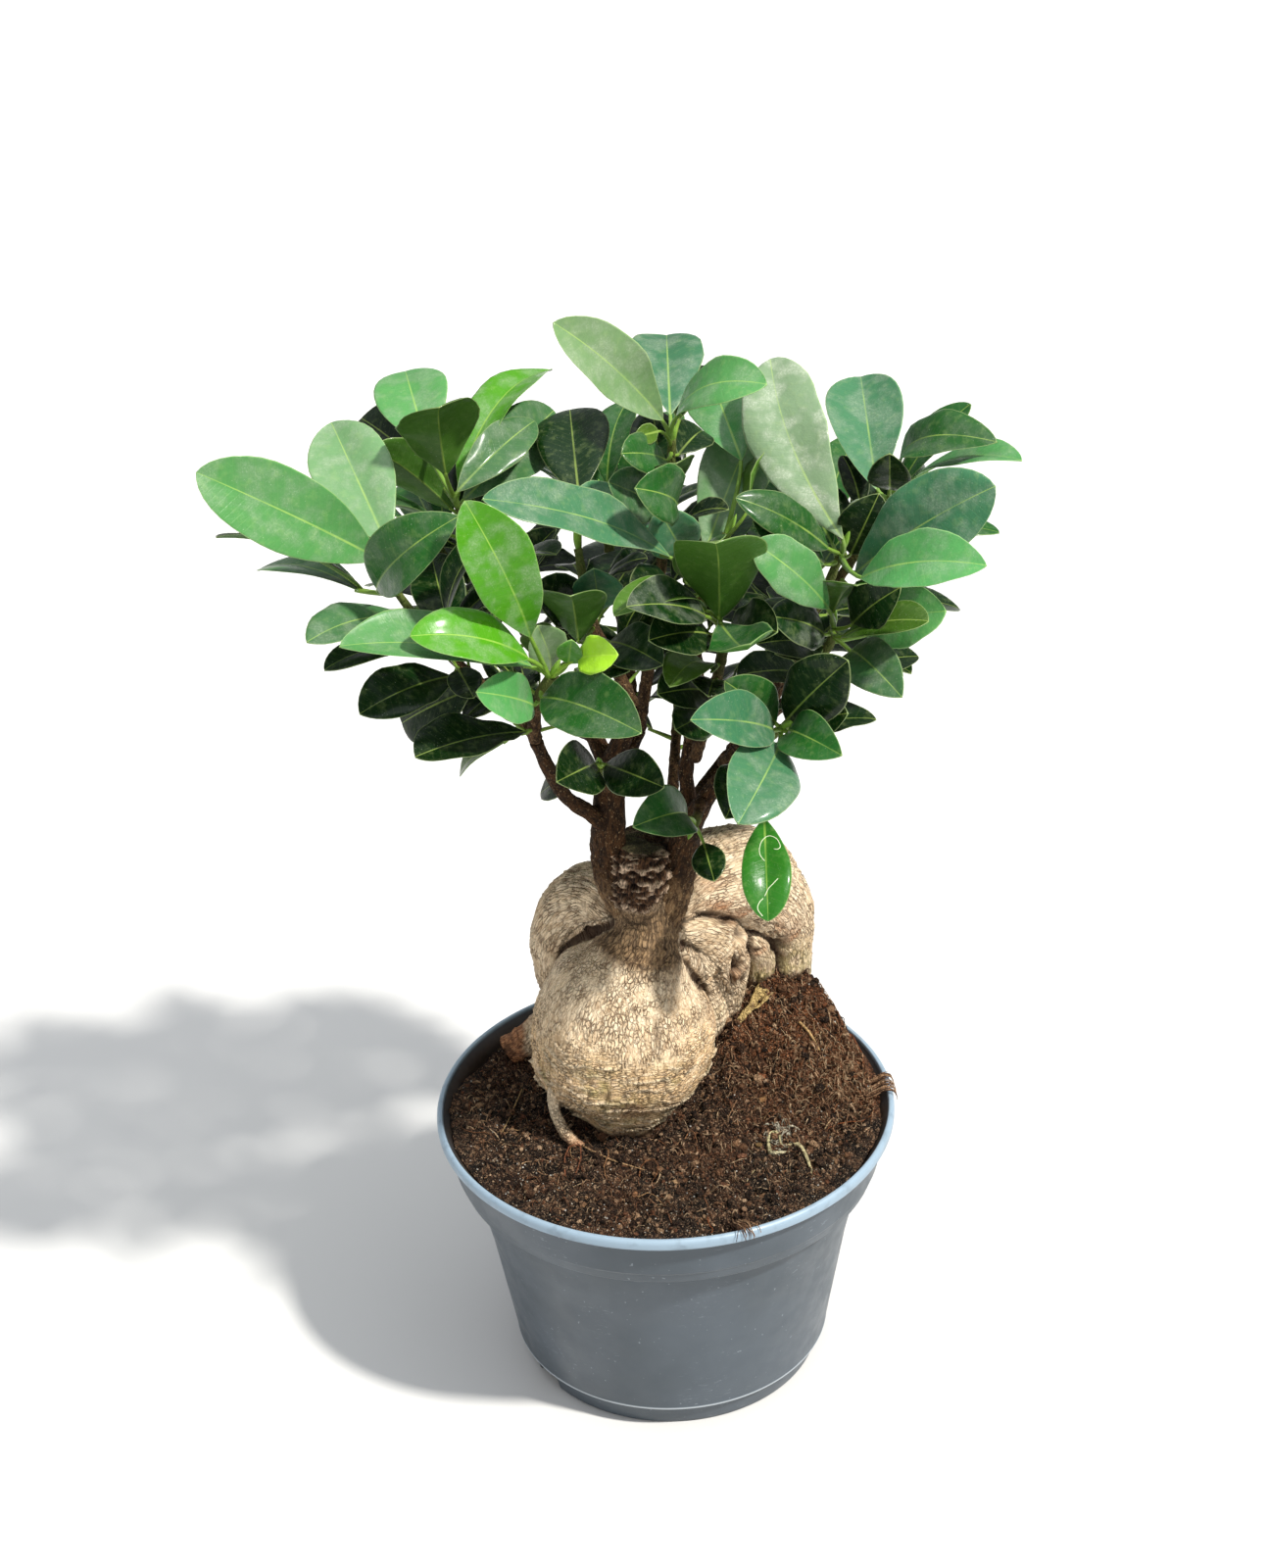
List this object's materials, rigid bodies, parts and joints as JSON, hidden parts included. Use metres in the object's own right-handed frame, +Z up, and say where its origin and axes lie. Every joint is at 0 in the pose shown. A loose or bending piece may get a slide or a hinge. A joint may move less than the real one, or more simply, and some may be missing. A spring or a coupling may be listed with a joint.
{
  "type": "ginseng ficus in a pot",
  "caption": "Potted ginseng ficus: a swollen pale rootstock with arched roots, grafted woody stems and glossy oval leaves, in soil in a round plastic pot that stands on a flat foot.",
  "frame": {"origin": "centre of the pot's flat underside, where the part rests", "axes": "+Z up along the pot's axis, -Y towards the plant's front, +X to the right as seen from the front"},
  "size_m": [0.2664, 0.2097, 0.4211],
  "materials": {
    "pot": "blue-grey injection-moulded plastic, satin, lightly scuffed",
    "soil": "dark moist peat with fibres and white perlite grains",
    "rootstock": "pale beige root bark, fine cracks across, matte",
    "bark": "brown bark, corky at the grafts, matte",
    "foliage": "glossy leathery leaf with a pale margin and midrib"
  },
  "bodies": {
    "root": {"pot": "pot", "soil": "soil", "rootstock": "rootstock", "left_graft_stem": "bark", "right_graft_stem": "bark", "leafy_stem_left_front": "foliage", "leafy_stem_left_outer": "foliage", "leafy_stem_left_upper": "foliage", "leafy_stem_centre_left": "foliage", "leafy_stem_top_centre": "foliage", "leafy_stem_centre_top": "foliage", "leafy_stem_centre_front": "foliage", "leafy_stem_right_top": "foliage", "leafy_stem_right_rear": "foliage", "leafy_stem_right_mid": "foliage", "leafy_stem_right_low": "foliage", "leafy_stem_low_centre": "foliage", "leafy_stem_low_right": "foliage", "leafy_stem_right_hang": "foliage", "leafy_stem_back_left": "foliage", "leafy_stem_back_centre": "foliage", "leafy_stem_back_right": "foliage", "leafy_stem_back_low": "foliage"}
  },
  "joints": []
}
